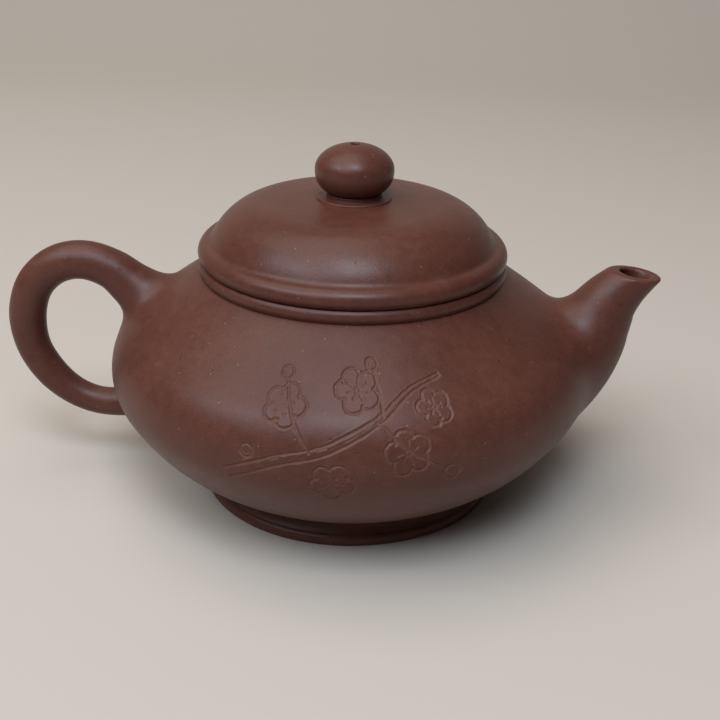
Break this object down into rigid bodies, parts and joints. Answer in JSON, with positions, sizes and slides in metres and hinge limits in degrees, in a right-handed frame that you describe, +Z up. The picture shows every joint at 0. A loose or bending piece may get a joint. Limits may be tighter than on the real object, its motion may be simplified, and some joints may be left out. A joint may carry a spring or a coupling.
{
  "type": "clay teapot",
  "caption": "Squat round unglazed clay teapot with a short curved spout, an ear handle and a domed lid with a ball knob that lifts out of the mouth.",
  "frame": {"origin": "centre of the foot ring's resting face, on the axis of the body", "axes": "+X towards the spout, -X towards the handle, +Z up along the axis of body and lid, +Y to the left of someone who looks along the spout"},
  "size_m": [0.1656, 0.122, 0.0893],
  "materials": {
    "clay": "unglazed fired stoneware, fine grain, soft satin sheen from burnishing",
    "lid_clay": "unglazed fired stoneware, fine grain, a little more burnished than the body"
  },
  "bodies": {
    "pot": {"base_disc": "clay", "body_wall": "clay", "shoulder_disc": "clay", "mouth_ring": "clay", "foot_ring": "clay", "spout": "clay", "strainer_dome": "clay", "handle": "clay"},
    "lid": {"lid_disc": "lid_clay", "lid_bead": "lid_clay", "lid_flange": "lid_clay", "knob_collar": "lid_clay", "knob": "lid_clay"}
  },
  "joints": [
    {"name": "lid_lift", "type": "slide", "parent": "pot", "child": "lid", "axis": [0, 0, 1], "range_m": [0, 0.08]}
  ]
}
